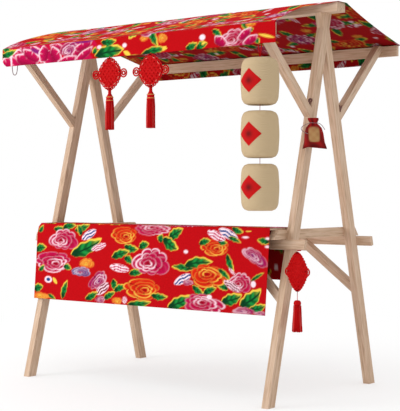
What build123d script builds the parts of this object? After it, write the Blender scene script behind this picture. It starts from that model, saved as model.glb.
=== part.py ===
from build123d import *
from math import atan2, cos, degrees, radians, sin, tan
import os

os.makedirs("parts", exist_ok=True)

# A wooden market stall: two crossed-leg frames carry a flat ridge beam and two braced eave
# boards under a printed cloth canopy, and two rails with cross rails carry a narrow counter.
# Millimetres. X runs along the ridge, -Y is the selling side, Z is up from the ground.
# Pieces are drawn with Y = 0 under the ridge, then moved back so that the origin is under the
# middle of the whole stall, which reaches further in front.

# Frames
frame_spacing = 1646.0
post_width = 38.0
post_depth = 57.0
ridge_base = 1964.0
cross_height = ridge_base - 2 * post_width
front_reach = 494.0
back_reach = 471.0

# Long members
beam_length = 1860.0
ridge_width = 78.0
ridge_depth = 47.0
eave_board_thickness = 20.0
eave_board_depth = 57.0
eave_drop = 117.0
eave_top = ridge_base - eave_drop
eave_reach = 581.5

# Canopy braces
canopy_brace_depth = 40.0
canopy_brace_pitch = 43.0
canopy_brace_rise = 8.5
canopy_brace_head = eave_top + canopy_brace_rise

# Counter
rail_thickness = 20.0
rail_depth = 48.0
rail_top = 811.0
cross_rail_width = 38.0
cross_rail_depth = 47.0
cross_rail_front = 416.0
cross_rail_back = 389.0
cross_rail_bevel = 38.0
counter_length = 1570.0
counter_front = 423.0
counter_depth = 198.0
counter_thickness = 9.0
table_brace_depth = 38.0
table_brace_thickness = 38.0
table_brace_pitch = 41.5
table_brace_foot = 540.0

# Cloths
cloth_thickness = 4.0
cloth_gap = 0.5
hang_gap = 0.3
canopy_left = 982.0
canopy_left_at_eave = 922.0
canopy_right = 942.0
back_drop_half = 762.0
canopy_sag = 14.0
valance_depth = 95.0
valance_bottom = eave_top - valance_depth
tablecloth_thickness = 3.0
tablecloth_left = 798.0
tablecloth_right = 786.0
hem_left = 858.0
hem_right = 758.0
front_drop_bottom = 437.0
back_drop_bottom = 600.0
back_corner_bottom = 548.0
back_corner_inner = 655.0
back_corner_outer = 705.0

# Hangings under the front eave
knot_thickness = 12.0
knot_half_width = 76.0
knot_half_height = 88.0
knot_ear_reach = 122.0
knot_ear_radius = 27.0
knot_cord = 7.0
knot_tie = 18.0
knot_top = valance_bottom
knot_strands = 7
knot_strand_share = 0.86
left_knot_x = -102.0
middle_knot_x = 179.0
tassel_radius = 25.0
tassel_length = 184.0
tassel_drop = 22.0

# Large knot at the right end of the front rail
rail_knot_x = 907.0
rail_knot_reach = 74.0
rail_knot_half_height = 100.0
hanger_diameter = 5.0
rail_tassel_radius = 28.0
rail_tassel_length = 156.0
rail_tassel_drop = 38.0

# Lanterns
lantern_x = 843.0
lantern_radius = 92.5
lantern_mouth_radius = 58.0
lantern_shoulder = 48.0
lantern_side_radius = 89.0
lantern_height = 223.0
lantern_pitch = 251.5
lantern_drop = 164.0
lantern_top = eave_top - lantern_drop
lantern_rim = 6.0
lantern_cord = 4.0

# Pouch on the right front leg
pouch_x = 884.5
pouch_forward = 1.6
pouch_turn = 35.0
pouch_drop = 547.0
pouch_top = ridge_base - pouch_drop
pouch_height = 156.0
pouch_width = 122.0
pouch_hem_thickness = 16.0
pouch_belly_height = 62.0
pouch_belly_width = 108.0
pouch_fullness = 44.0
pouch_neck_height = 130.0
pouch_neck_width = 38.0
pouch_neck_thickness = 22.0
pouch_ruffle_width = 54.0
pouch_ruffle_thickness = 16.0

# Small hooks and the string loop
hook_thickness = 5.0
hook_ring = 12.0
hook_eye = 5.0
hook_tail = 46.0
hook_width = 7.0
front_hook_x = 829.0
front_hook_clear = 6.0
back_hook_rise = 35.0
back_hook_out = 4.4
back_hook_spread = 26.0
back_hook_drop = 38.0
string_diameter = 4.0
string_x = -838.0
string_half_width = 21.0
string_belly_half = 22.5
string_bend_half = 19.0
string_bend_rise = 22.0
string_foot_half = 10.5
string_drop = 146.0
string_bend_share = 0.45

frame_x = frame_spacing / 2
canopy_brace_half = canopy_brace_depth / 2 / cos(radians(canopy_brace_pitch))
lantern_y = -eave_reach - eave_board_thickness / 2
outside_eave = eave_reach + eave_board_thickness + cloth_gap
centre_shift = (lantern_radius - lantern_y - outside_eave - cloth_thickness) / 2


def keep(piece, name):
    """Move a finished piece to the stall's own origin, label it and write it to its own file."""
    placed = piece.part.moved(Location((0, centre_shift, 0)))
    placed.label = name
    export_step(placed, f"parts/{name}.step")


def lean(reach):
    """Angle of a leg from the vertical, in degrees."""
    return degrees(atan2(reach, cross_height))


def leg_middle(reach, facing, height):
    """Y of a leg's centre line at a height; facing is -1 at the front and 1 at the back."""
    return facing * reach * (1 - height / cross_height)


def half_run(reach):
    """Half the level width of a leg, which is cut on the slant."""
    return post_depth / 2 / cos(radians(lean(reach)))


def leg_outline(reach, facing, top):
    """Corners of a leg seen from the side, cut level at the ground and at the top."""
    run = half_run(reach)
    foot = leg_middle(reach, facing, 0)
    head = leg_middle(reach, facing, top)
    return [(foot - run, 0), (foot + run, 0), (head + run, top), (head - run, top)]


def leg(side, reach, facing, other_reach, lap_from):
    """One post of a crossed pair; the pair is halved where it crosses.

    lap_from is the share of the width, from the post's lower X, where the cut for the other begins.
    """
    start = side * frame_x - post_width / 2
    with BuildPart() as post:
        with BuildSketch(Plane.YZ.offset(start)):
            with BuildLine():
                Polyline(*leg_outline(reach, facing, ridge_base), close=True)
            make_face()
        extrude(amount=post_width)
        with BuildSketch(Plane.YZ.offset(start + lap_from * post_width)):
            with BuildLine():
                Polyline(*leg_outline(other_reach, -facing, ridge_base), close=True)
            make_face()
        extrude(amount=post_width / 2, mode=Mode.SUBTRACT)
    return post


for side, side_name in ((-1, "left"), (1, "right")):
    front_lap = 0.0 if side > 0 else 0.5
    keep(leg(side, front_reach, -1, back_reach, front_lap), f"front_{side_name}_leg")
    keep(leg(side, back_reach, 1, front_reach, 0.5 - front_lap), f"back_{side_name}_leg")

# Ridge beam lying flat on the four leg heads
with BuildPart() as ridge_beam:
    with BuildSketch(Plane.YZ.offset(-beam_length / 2)):
        with Locations((0, ridge_base + ridge_depth / 2)):
            Rectangle(ridge_width, ridge_depth)
    extrude(amount=beam_length)
keep(ridge_beam, "ridge_beam")

# Eave boards on edge, front and back
for facing, name in ((-1, "front_eave_board"), (1, "back_eave_board")):
    with BuildPart() as eave_board:
        with BuildSketch(Plane.YZ.offset(-beam_length / 2)):
            with Locations((facing * (eave_reach + eave_board_thickness / 2), eave_top - eave_board_depth / 2)):
                Rectangle(eave_board_thickness, eave_board_depth)
        extrude(amount=beam_length)
    keep(eave_board, name)


def brace_meets_leg(reach, offset):
    """Where a line of the canopy brace, offset up from its middle, meets the leg's outer face."""
    rise = tan(radians(canopy_brace_pitch))
    slope = reach / cross_height
    # outwards, the leg's face is at reach + half run - slope z, and the brace's line is below
    at_board = canopy_brace_head + offset
    out = (reach + half_run(reach) - slope * (at_board - rise * eave_reach)) / (1 + slope * rise)
    return out, at_board - rise * (eave_reach - out)


def canopy_brace(side, reach, facing):
    """Raking strut from a leg's outer face up to the inner face of the eave board."""
    rise = tan(radians(canopy_brace_pitch))
    top_out = eave_reach - (canopy_brace_head + canopy_brace_half - eave_top) / rise
    corners = [
        brace_meets_leg(reach, -canopy_brace_half),
        (eave_reach, canopy_brace_head - canopy_brace_half),
        (eave_reach, eave_top),
        (top_out, eave_top),
        brace_meets_leg(reach, canopy_brace_half),
    ]
    with BuildPart() as brace:
        with BuildSketch(Plane.YZ.offset(side * frame_x - post_width / 2)):
            with BuildLine():
                Polyline(*[(facing * out, height) for out, height in corners], close=True)
            make_face()
        extrude(amount=post_width)
    return brace


for side, side_name in ((-1, "left"), (1, "right")):
    keep(canopy_brace(side, front_reach, -1), f"front_{side_name}_canopy_brace")
    keep(canopy_brace(side, back_reach, 1), f"back_{side_name}_canopy_brace")


def leg_plane(reach, facing):
    """Plane of a pair of legs: X along the stall, Y up the legs from the ground, Z outwards."""
    tilt = radians(lean(reach))
    outwards = Vector(0, facing * cos(tilt), sin(tilt))
    return Plane(origin=(0, facing * reach, 0), x_dir=(-facing, 0, 0), z_dir=outwards)


def rail_top_along_leg(reach):
    """Distance up the leg to a rail's top edge, whose outer corner is at rail_top."""
    tilt = radians(lean(reach))
    return (rail_top - (post_depth / 2 + rail_thickness) * sin(tilt)) / cos(tilt)


def rail(reach, facing):
    """Long rail lying flat against the outer faces of two legs."""
    with BuildPart() as board:
        with BuildSketch(leg_plane(reach, facing).offset(post_depth / 2)):
            with Locations((0, rail_top_along_leg(reach) - rail_depth / 2)):
                Rectangle(beam_length, rail_depth)
        extrude(amount=rail_thickness)
    return board


keep(rail(front_reach, -1), "front_rail")
keep(rail(back_reach, 1), "back_rail")


def table_brace(side, reach, facing):
    """Raking strut between a leg's inner side and the back of the rail above it."""
    mirror = -facing * side
    rise = tan(radians(table_brace_pitch))
    half = table_brace_depth / 2 / cos(radians(table_brace_pitch))
    inner = frame_x - post_width / 2
    head = rail_top_along_leg(reach)

    def run(offset):
        return inner - (head - table_brace_foot - offset) / rise

    corners = [
        (inner, table_brace_foot - half),
        (inner, table_brace_foot + half),
        (run(half), head),
        (run(-half), head),
    ]
    with BuildPart() as brace:
        with BuildSketch(leg_plane(reach, facing).offset(post_depth / 2 - table_brace_thickness)):
            with BuildLine():
                Polyline(*[(mirror * x, along) for x, along in corners], close=True)
            make_face()
        extrude(amount=table_brace_thickness)
    return brace


for side, side_name in ((-1, "left"), (1, "right")):
    keep(table_brace(side, front_reach, -1), f"front_{side_name}_table_brace")
    keep(table_brace(side, back_reach, 1), f"back_{side_name}_table_brace")

# Cross rails on the inner sides of the legs, resting on the long rails
cross_rail_top = rail_top + cross_rail_depth
for side, name in ((-1, "left_cross_rail"), (1, "right_cross_rail")):
    near = frame_x - post_width / 2 - cross_rail_width
    with BuildPart() as cross_rail:
        with BuildSketch(Plane.YZ.offset(near if side > 0 else -near - cross_rail_width)):
            with BuildLine():
                Polyline(
                    (-cross_rail_front, rail_top),
                    (cross_rail_back, rail_top),
                    (cross_rail_back - cross_rail_bevel, cross_rail_top),
                    (cross_rail_bevel - cross_rail_front, cross_rail_top),
                    close=True,
                )
            make_face()
        extrude(amount=cross_rail_width)
    keep(cross_rail, name)

# Narrow counter board across the front ends of the cross rails
counter_top = cross_rail_top + counter_thickness
with BuildPart() as counter_board:
    with BuildSketch(Plane.XY.offset(cross_rail_top)):
        with Locations((0, counter_depth / 2 - counter_front)):
            Rectangle(counter_length, counter_depth)
    extrude(amount=counter_thickness)
keep(counter_board, "counter_board")

# Canopy cloth, one band over the ridge beam and both eave boards with a valance at each end
over_ridge = ridge_base + ridge_depth + cloth_gap
over_eave = eave_top + cloth_gap
ridge_edge = ridge_width / 2
sag_y = (ridge_edge + outside_eave) / 2
sag_z = (over_ridge + over_eave) / 2 - canopy_sag
with BuildPart() as canopy_cloth:
    with BuildSketch(Plane.YZ.offset(-canopy_left)):
        with BuildLine() as band:
            Line((-outside_eave, valance_bottom), (-outside_eave, over_eave))
            ThreePointArc((-outside_eave, over_eave), (-sag_y, sag_z), (-ridge_edge, over_ridge))
            Line((-ridge_edge, over_ridge), (ridge_edge, over_ridge))
            ThreePointArc((ridge_edge, over_ridge), (sag_y, sag_z), (outside_eave, over_eave))
            Line((outside_eave, over_eave), (outside_eave, valance_bottom))
            offset(amount=cloth_thickness, side=Side.LEFT)
        make_face()
    extrude(amount=canopy_left + canopy_right)
    # the left end runs back from the ridge to both eaves
    edge_y = outside_eave + cloth_thickness
    with BuildSketch(Plane.XY.offset(valance_bottom)):
        for facing in (-1, 1):
            with BuildLine():
                Polyline(
                    (-canopy_left, 0),
                    (-canopy_left, facing * edge_y),
                    (-canopy_left_at_eave, facing * edge_y),
                    close=True,
                )
            make_face()
    extrude(amount=over_ridge + cloth_thickness - valance_bottom, mode=Mode.SUBTRACT)
keep(canopy_cloth, "canopy_cloth")

# Tablecloth over the counter board with a long drop in front and a shorter one behind it
drop_front = -counter_front - cloth_gap
drop_back = counter_depth - counter_front + cloth_gap
cloth_under = counter_top + cloth_gap
cloth_over = cloth_under + tablecloth_thickness
with BuildPart() as tablecloth:
    with BuildSketch(Plane.XZ.offset(-drop_front)):
        with BuildLine():
            Polyline(
                (-tablecloth_left, cloth_over),
                (tablecloth_right, cloth_over),
                (hem_right, front_drop_bottom),
                (-hem_left, front_drop_bottom),
                close=True,
            )
        make_face()
    extrude(amount=tablecloth_thickness)
    with BuildSketch(Plane.XZ.offset(-drop_back - tablecloth_thickness)):
        with BuildLine():
            Polyline(
                (-back_drop_half, cloth_over),
                (-back_drop_half, back_corner_bottom),
                (-back_corner_outer, back_corner_bottom),
                (-back_corner_inner, back_drop_bottom),
                (back_corner_inner, back_drop_bottom),
                (back_corner_outer, back_corner_bottom),
                (back_drop_half, back_corner_bottom),
                (back_drop_half, cloth_over),
                close=True,
            )
        make_face()
    extrude(amount=tablecloth_thickness)
    with BuildSketch(Plane.XY.offset(cloth_under)):
        with BuildLine():
            Polyline(
                (-tablecloth_left, drop_front),
                (tablecloth_right, drop_front),
                (tablecloth_right, drop_back + tablecloth_thickness),
                (-tablecloth_left, drop_back + tablecloth_thickness),
                close=True,
            )
        make_face()
    extrude(amount=tablecloth_thickness)
keep(tablecloth, "tablecloth")


def knot(x, y, top, half_width, half_height, reach, tie):
    """Flat knot: two layers of strands crossing in a diamond, a loop at each side and a tie on top."""
    middle = top - half_height
    ears = [(x - reach + knot_ear_radius, middle), (x + reach - knot_ear_radius, middle)]
    strand_width = knot_strand_share / knot_strands

    def corner(across, down):
        # across and down run along the diamond's edges from its left corner, each from 0 to 1
        return x + half_width * (across + down - 1), middle + half_height * (across - down)

    with BuildPart() as tied:
        for layer in (0, 1):
            with BuildSketch(Plane.XZ.offset(-y - (1 - layer) * knot_thickness / 2)):
                for strand in range(knot_strands):
                    low = strand * (1 - strand_width) / (knot_strands - 1)
                    high = low + strand_width
                    ends = [(0, low), (1, low), (1, high), (0, high)]
                    if layer:
                        ends = [(down, across) for across, down in ends]
                    with BuildLine():
                        Polyline(*[corner(*end) for end in ends], close=True)
                    make_face()
            extrude(amount=knot_thickness / 2)
        with BuildSketch(Plane.XZ.offset(-y - knot_thickness / 2)):
            with Locations(*ears):
                Circle(knot_ear_radius)
                Circle(knot_ear_radius - knot_cord, mode=Mode.SUBTRACT)
            if tie:
                with Locations((x, top + tie / 2 - knot_cord)):
                    Rectangle(knot_cord, tie + 2 * knot_cord)
        extrude(amount=knot_thickness)
    return tied


def tassel(x, y, top, radius, length, drop):
    """Tassel turned about its cord: cord, collar with a ring, and a skirt of threads."""
    collar = radius * 0.8
    with BuildPart() as threads:
        with BuildSketch(Plane.XZ.offset(-y)):
            with BuildLine():
                Polyline(
                    (x, top),
                    (x + knot_cord / 2, top),
                    (x + knot_cord / 2, top - drop),
                    (x + collar * 0.6, top - drop - 6),
                    (x + collar, top - drop - 16),
                    (x + collar, top - drop - 30),
                    (x + radius, top - drop - 42),
                    (x + radius, top - drop - length),
                    (x, top - drop - length),
                    close=True,
                )
            make_face()
        revolve(axis=Axis((x, y, 0), (0, 0, 1)))
    return threads


valance_face = -outside_eave - cloth_thickness
knot_y = valance_face - hang_gap - knot_thickness / 2
for x, name in ((left_knot_x, "left"), (middle_knot_x, "middle")):
    keep(
        knot(x, knot_y, knot_top, knot_half_width, knot_half_height, knot_ear_reach, knot_tie),
        f"{name}_knot",
    )
    under_knot = knot_top - 2 * knot_half_height
    keep(tassel(x, knot_y, under_knot, tassel_radius, tassel_length, tassel_drop), f"{name}_tassel")

# The large knot hangs plumb just clear of the leg, from a tie under the rail's end
rail_foot = rail_top_along_leg(front_reach) - rail_depth
rail_tilt = radians(lean(front_reach))
rail_under_y = -front_reach + rail_foot * sin(rail_tilt) - (post_depth + rail_thickness) / 2 * cos(rail_tilt)
rail_under_z = rail_foot * cos(rail_tilt) + (post_depth + rail_thickness) / 2 * sin(rail_tilt)
rail_knot_top = rail_under_z - hanger_diameter - cloth_gap
ear_height = rail_knot_top - rail_knot_half_height - knot_ear_radius
leg_face_y = leg_middle(front_reach, -1, ear_height) - half_run(front_reach)
rail_knot_y = leg_face_y - cloth_gap - knot_thickness / 2
with BuildPart() as rail_knot_tie:
    with BuildSketch(Plane.XZ.offset(-rail_under_y)):
        with Locations((rail_knot_x, rail_knot_top + hanger_diameter / 2)):
            Circle(hanger_diameter / 2)
    extrude(amount=rail_under_y - rail_knot_y)
keep(rail_knot_tie, "rail_knot_tie")
keep(
    knot(
        rail_knot_x, rail_knot_y, rail_knot_top,
        rail_knot_reach - 2 * knot_cord, rail_knot_half_height, rail_knot_reach, 0,
    ),
    "rail_knot",
)
under_rail_knot = rail_knot_top - 2 * rail_knot_half_height
keep(
    tassel(rail_knot_x, rail_knot_y, under_rail_knot, rail_tassel_radius, rail_tassel_length, rail_tassel_drop),
    "rail_tassel",
)

# Three woven barrel lanterns, one under the other on a cord from the front eave board
def lantern(top):
    """Barrel lantern with rounded shoulders and a rim at its mouth and foot."""
    mouth = lantern_x + lantern_mouth_radius
    side = lantern_x + lantern_side_radius
    middle = top - lantern_height / 2
    foot = top - lantern_height
    # the shoulder's arc bulges outwards from the straight line between its ends
    bulge_x = lantern_x + lantern_mouth_radius * 0.2 + lantern_side_radius * 0.8
    bulge_down = lantern_rim + (lantern_shoulder - lantern_rim) * 0.3
    with BuildPart() as barrel:
        with BuildSketch(Plane.XZ.offset(-lantern_y)):
            with BuildLine():
                Polyline((mouth, foot + lantern_rim), (mouth, foot), (lantern_x, foot), (lantern_x, top))
                Polyline((lantern_x, top), (mouth, top), (mouth, top - lantern_rim))
                ThreePointArc(
                    (mouth, top - lantern_rim), (bulge_x, top - bulge_down), (side, top - lantern_shoulder)
                )
                ThreePointArc(
                    (side, top - lantern_shoulder),
                    (lantern_x + lantern_radius, middle),
                    (side, foot + lantern_shoulder),
                )
                ThreePointArc(
                    (side, foot + lantern_shoulder), (bulge_x, foot + bulge_down), (mouth, foot + lantern_rim)
                )
            make_face()
        revolve(axis=Axis((lantern_x, lantern_y, 0), (0, 0, 1)))
    return barrel


for number, name in enumerate(("top_lantern", "middle_lantern", "bottom_lantern")):
    keep(lantern(lantern_top - number * lantern_pitch), name)

# Cord pieces that carry the lanterns
eave_underside = eave_top - eave_board_depth
cord_spans = [(eave_underside, lantern_top)]
for number in (1, 2):
    next_top = lantern_top - number * lantern_pitch
    cord_spans.append((next_top + lantern_pitch - lantern_height, next_top))
with BuildPart() as lantern_cord_piece:
    for high, low in cord_spans:
        with BuildSketch(Plane.XY.offset(low)):
            with Locations((lantern_x, lantern_y)):
                Circle(lantern_cord / 2)
        extrude(amount=high - low)
keep(lantern_cord_piece, "lantern_cord")

# Drawstring pouch, turned towards the corner of the leg
pouch_middle = pouch_top - pouch_height / 2
pouch_y = leg_middle(front_reach, -1, pouch_middle) - half_run(front_reach) - pouch_forward
pouch_plane = Plane(origin=(pouch_x, pouch_y, pouch_top - pouch_height), z_dir=(0, 0, 1)).rotated(
    (0, 0, pouch_turn)
)
pouch_sections = (
    (0, pouch_width, pouch_hem_thickness),
    (pouch_belly_height, pouch_belly_width, pouch_fullness),
    (pouch_neck_height, pouch_neck_width, pouch_neck_thickness),
    (pouch_height, pouch_ruffle_width, pouch_ruffle_thickness),
)
with BuildPart() as pouch:
    for height, width, thickness in pouch_sections:
        with BuildSketch(pouch_plane.offset(height)):
            Ellipse(width / 2, thickness / 2)
    loft()
keep(pouch, "drawstring_pouch")

# Small bent hooks: one flat on the front of the right front leg, one beside the back brace
front_tilt = radians(lean(front_reach))
crotch_height = brace_meets_leg(front_reach, canopy_brace_half)[1]
hook_foot = (crotch_height - post_depth / 2 * sin(front_tilt)) / cos(front_tilt) + front_hook_clear
hook_top = hook_foot + hook_tail
with BuildPart() as front_hook:
    with BuildSketch(leg_plane(front_reach, -1).offset(post_depth / 2)):
        with Locations((front_hook_x, hook_top - hook_tail / 2)):
            Rectangle(hook_width, hook_tail)
        with Locations((front_hook_x, hook_top - hook_ring)):
            Circle(hook_ring)
            Circle(hook_eye, mode=Mode.SUBTRACT)
    extrude(amount=hook_thickness)
keep(front_hook, "front_hook")

back_crotch = brace_meets_leg(back_reach, canopy_brace_half)
back_hook_y = back_crotch[0] + back_hook_out
back_hook_top = back_crotch[1] + back_hook_rise
with BuildPart() as back_hook:
    with BuildSketch(Plane.YZ.offset(frame_x + post_width / 2)):
        with BuildLine():
            Polyline(
                (back_hook_y - back_hook_spread / 2, back_hook_top),
                (back_hook_y, back_hook_top - back_hook_drop / 3),
                (back_hook_y + back_hook_spread / 2, back_hook_top),
                (back_hook_y - back_hook_spread / 4, back_hook_top - back_hook_drop),
                close=True,
            )
        make_face()
    extrude(amount=hook_thickness)
keep(back_hook, "back_hook")

def bend_radius(before, corner, after):
    """Radius that rounds a corner of a cord's route, its arc taking a share of the shorter run."""
    arriving = corner - before
    leaving = after - corner
    half_turn = radians(arriving.get_angle(leaving)) / 2
    return string_bend_share * min(arriving.length, leaving.length) / tan(half_turn)


# String loop left hanging from the left end of the front eave board
string_top = eave_underside - cloth_gap
string_low = eave_top - string_drop
string_bend = string_low + string_bend_rise
right_half = [
    (string_foot_half, string_low),
    (string_bend_half, string_bend),
    (string_belly_half, (string_bend + string_top) / 2),
    (string_half_width, string_top),
]
string_points = [Vector(string_x - out, lantern_y, height) for out, height in reversed(right_half)]
string_points += [Vector(string_x + out, lantern_y, height) for out, height in right_half]
string_turns = [
    bend_radius(*string_points[start:start + 3]) for start in range(len(string_points) - 2)
]
with BuildPart() as string_loop:
    with BuildLine() as string_route:
        FilletPolyline(*string_points, radius=string_turns)
    with BuildSketch(string_route.line ^ 0):
        Circle(string_diameter / 2)
    sweep()
keep(string_loop, "string_loop")
print("string loop", round(string_route.wire().length, 1), [round(turn, 1) for turn in string_turns])
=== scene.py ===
import random
from math import atan2, copysign, cos, exp, hypot, pi, radians, sin, sqrt

import bpy
import numpy as np
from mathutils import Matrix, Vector


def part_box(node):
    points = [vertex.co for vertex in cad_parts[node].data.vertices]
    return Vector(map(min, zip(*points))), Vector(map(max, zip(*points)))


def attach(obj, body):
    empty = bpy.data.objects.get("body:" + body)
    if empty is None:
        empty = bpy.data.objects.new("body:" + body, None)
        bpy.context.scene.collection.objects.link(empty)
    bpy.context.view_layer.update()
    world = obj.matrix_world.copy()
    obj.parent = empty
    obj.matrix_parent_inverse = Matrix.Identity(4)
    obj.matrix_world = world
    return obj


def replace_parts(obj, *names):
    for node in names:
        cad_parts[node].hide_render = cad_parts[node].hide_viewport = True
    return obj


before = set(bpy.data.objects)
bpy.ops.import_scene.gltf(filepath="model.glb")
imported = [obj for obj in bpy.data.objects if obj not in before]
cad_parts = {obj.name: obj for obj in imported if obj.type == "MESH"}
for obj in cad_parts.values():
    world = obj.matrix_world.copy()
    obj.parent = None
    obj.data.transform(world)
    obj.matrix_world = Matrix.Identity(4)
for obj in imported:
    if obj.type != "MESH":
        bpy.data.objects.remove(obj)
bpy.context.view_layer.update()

# The ridge's Y in the frame, in metres. Heights and distances below are the CAD part's own.
RIDGE_Y = 0.039
rng = random.Random(7)


def link(tree, a, b):
    tree.links.new(a, b)


def add_node(tree, kind, values=None, **settings):
    """A shader node with settings of its own and values for its inputs."""
    node = tree.nodes.new(f"ShaderNode{kind}")
    for key, value in settings.items():
        setattr(node, key, value)
    for key, value in (values or {}).items():
        node.inputs[key].default_value = value
    return node


def add_texture(tree, kind, values, **settings):
    """A texture or mapping node laid out by the object's own coordinates."""
    coord = add_node(tree, "TexCoord")
    texture = add_node(tree, kind, values, **settings)
    link(tree, coord.outputs["Object"], texture.inputs["Vector"])
    return texture


def add_ramp(tree, *stops):
    """A colour ramp through (position, colour) stops: the first, the last and then what lies between."""
    ramp = add_node(tree, "ValToRGB")
    elements = ramp.color_ramp.elements
    for number, (position, colour) in enumerate(stops):
        stop = elements[number] if number < 2 else elements.new(position)
        stop.position = position
        stop.color = (*colour, 1)
    return ramp


def add_bump(tree, shader, height, strength, distance):
    """A relief from a node's output."""
    bump = add_node(tree, "Bump", {"Strength": strength, "Distance": distance})
    link(tree, height, bump.inputs["Height"])
    link(tree, bump.outputs["Normal"], shader.inputs["Normal"])


def new_material(name, colour=(0.5, 0.5, 0.5), rough=0.6, specular=0.5):
    """A Principled material, with its tree and its shader."""
    mat = bpy.data.materials.new(name)
    mat.use_nodes = True
    shader = mat.node_tree.nodes["Principled BSDF"]
    shader.inputs["Base Color"].default_value = (*colour, 1)
    shader.inputs["Roughness"].default_value = rough
    shader.inputs["Specular IOR Level"].default_value = specular
    return mat, mat.node_tree, shader


def dyed_material(name, layer_name, rough, specular):
    """A material that takes its colour from a colour layer of the mesh."""
    mat, tree, shader = new_material(name, rough=rough, specular=specular)
    dye = add_node(tree, "VertexColor", layer_name=layer_name)
    link(tree, dye.outputs["Color"], shader.inputs["Base Color"])
    return mat, tree, shader


def colour_points(mesh, layer_name, colours):
    """A colour layer with one colour for each point of a mesh."""
    layer = mesh.color_attributes.new(layer_name, "FLOAT_COLOR", "POINT")
    rgba = np.ones((len(colours), 4), np.float32)
    rgba[:, :3] = colours
    layer.data.foreach_set("color", rgba.ravel())
    return layer


def add_mesh(name, verts, faces, mat):
    """A smooth mesh that rides on the stall."""
    mesh = bpy.data.meshes.new(name)
    mesh.from_pydata(verts, [], faces)
    mesh.validate()
    mesh.polygons.foreach_set("use_smooth", [True] * len(mesh.polygons))
    obj = bpy.data.objects.new(name, mesh)
    bpy.context.scene.collection.objects.link(obj)
    mesh.materials.append(mat)
    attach(obj, "root")
    return obj


def dress(node, mat):
    """Gives a CAD node its material."""
    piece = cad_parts[node]
    piece.data.materials.clear()
    piece.data.materials.append(mat)
    return piece


def circle(steps, radius, x=0.0, y=0.0):
    """Points round a circle, as pairs."""
    angles = [2 * pi * k / steps for k in range(steps)]
    return [(x + radius * cos(a), y + radius * sin(a)) for a in angles]


def stack_faces(rings, sides, closed=False):
    """Faces of a stack of rings of points, capped at both ends unless the last ring joins the first."""
    faces = []
    for i in range(rings if closed else rings - 1):
        j = (i + 1) % rings
        for k in range(sides):
            m = (k + 1) % sides
            faces.append((i * sides + k, i * sides + m, j * sides + m, j * sides + k))
    if not closed:
        faces.append(tuple(range(sides))[::-1])
        faces.append(tuple((rings - 1) * sides + k for k in range(sides)))
    return faces


class Build:
    """Gathers several shapes into one mesh."""

    def __init__(self):
        self.verts, self.faces = [], []

    def add(self, verts, faces):
        base = len(self.verts)
        self.verts.extend(verts)
        self.faces.extend(tuple(base + i for i in f) for f in faces)

    def tube(self, points, radius, sides, closed=False, flat=1.0):
        """A round or flattened tube along points."""
        pts = [Vector(p) for p in points]
        n = len(pts)
        section = circle(sides, radius)
        verts, up = [], None
        for i, p in enumerate(pts):
            before = pts[i - 1] if (i or closed) else p
            after = pts[(i + 1) % n] if (i < n - 1 or closed) else p
            d = (after - before).normalized()
            if up is None:
                up = Vector((0, 1, 0)) if abs(d.y) < 0.9 else Vector((1, 0, 0))
            up = (up - d * up.dot(d)).normalized()
            across = d.cross(up)
            verts += [p + across * u + up * (v * flat) for u, v in section]
        self.add(verts, stack_faces(n, sides, closed))

    def lathe(self, profile, centre, steps):
        """A closed profile of (radius, height) turned about a vertical line at centre."""
        verts, rings = [], []
        for r, z in profile:
            spots = circle(steps, r, *centre) if r else [centre]
            rings.append(range(len(verts), len(verts) + len(spots)))
            verts += [(x, y, z) for x, y in spots]
        faces = []
        for a, b in zip(rings, rings[1:]):
            for k in range(steps):
                m = (k + 1) % steps
                if len(a) == 1:
                    faces.append((a[0], b[k], b[m]))
                elif len(b) == 1:
                    faces.append((a[k], a[m], b[0]))
                else:
                    faces.append((a[k], a[m], b[m], b[k]))
        self.add(verts, faces)

    def done(self, name, mat, slot):
        return add_mesh(name, self.verts, self.faces, mat)


# camera, at the photo's viewpoint: its place, its turn in degrees and its focal length in pixels
CAMERA_PLACE = (4.1695, -5.3043 + RIDGE_Y, 1.0523)
CAMERA_YAW, CAMERA_PITCH = 38.05, -0.70
FOCAL_PIXELS, PHOTO_HEIGHT, SENSOR = 1210.2, 411, 36.0

cam_data = bpy.data.cameras.new("camera")
cam_data.sensor_width = SENSOR
cam_data.lens = SENSOR * FOCAL_PIXELS / PHOTO_HEIGHT
cam = bpy.data.objects.new("camera", cam_data)
cam.location = CAMERA_PLACE
cam.rotation_euler = (pi / 2 + radians(CAMERA_PITCH), 0, radians(CAMERA_YAW))
bpy.context.scene.collection.objects.link(cam)
bpy.context.scene.camera = cam

# timber: the tones of its grain and blotches, and the width of its softened edges
PINE_DARK, PINE_MIDDLE, PINE_PALE = (0.43, 0.270, 0.168), (0.60, 0.417, 0.287), (0.66, 0.487, 0.358)
BLOTCH = (0.78, 0.66, 0.52)
SOFT_EDGE = 0.0018


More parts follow.
